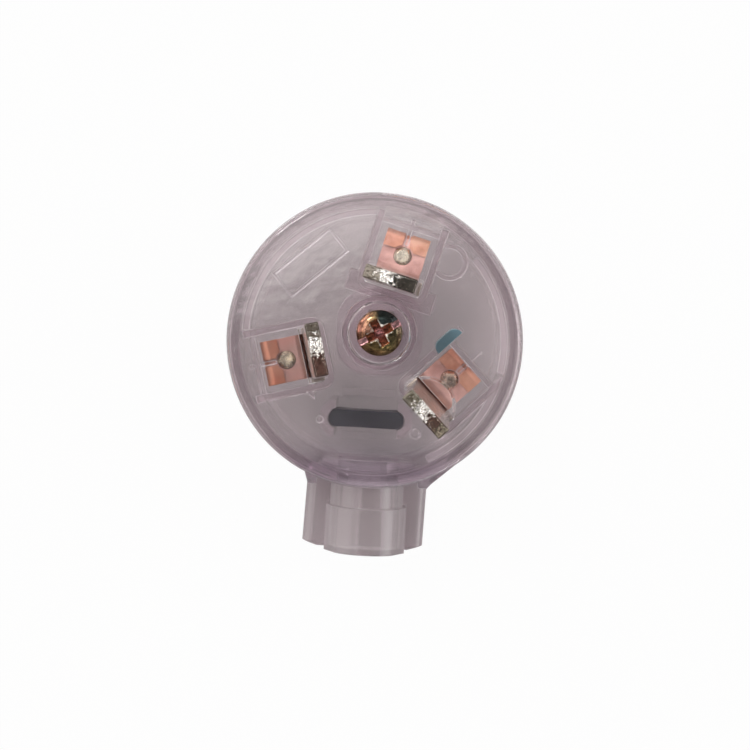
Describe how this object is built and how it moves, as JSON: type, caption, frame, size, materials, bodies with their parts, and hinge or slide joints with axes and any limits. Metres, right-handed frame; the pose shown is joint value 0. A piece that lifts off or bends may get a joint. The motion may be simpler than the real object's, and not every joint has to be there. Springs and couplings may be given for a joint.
{
  "type": "rewireable three-pin mains plug",
  "caption": "Clear round rewireable plug with three flat angled pins, screw terminals seen through the moulding, a central assembly screw and a side cord spout.",
  "frame": {"origin": "centre of the cover's flat back, on the axis of the round body", "axes": "+Z along the pins, away from the cover's back; -Y along the cord spout; +X to the right, seen from the pin side with the spout down"},
  "size_m": [0.0374, 0.0461, 0.0395],
  "materials": {
    "clear_cover": "clear moulded plastic with a faint purple tint",
    "clear_base": "clear moulded plastic with a faint purple tint",
    "yellow_zinc": "yellow zinc plate with pink and green shimmer",
    "zinc_steel": "dull zinc plate",
    "nickel": "bright nickel plate",
    "copper": "pink bare copper, satin",
    "bright_copper": "orange bare copper, satin",
    "navy_plastic": "dark navy moulded plastic",
    "teal_plastic": "teal moulded plastic"
  },
  "bodies": {
    "root": {"cover": "clear_cover", "base": "clear_base", "main_screw": "yellow_zinc", "main_nut": "zinc_steel", "active_pin": "nickel", "neutral_pin": "nickel", "earth_pin": "nickel", "active_bracket": "copper", "neutral_bracket": "copper", "earth_bracket": "copper", "active_clamp": "bright_copper", "neutral_clamp": "bright_copper", "earth_clamp": "bright_copper", "active_terminal_screw": "zinc_steel", "neutral_terminal_screw": "zinc_steel", "earth_terminal_screw": "zinc_steel", "active_spring_washer": "zinc_steel", "neutral_spring_washer": "zinc_steel", "earth_spring_washer": "zinc_steel", "cord_grip_bar": "navy_plastic", "earth_marker": "teal_plastic"}
  },
  "joints": []
}
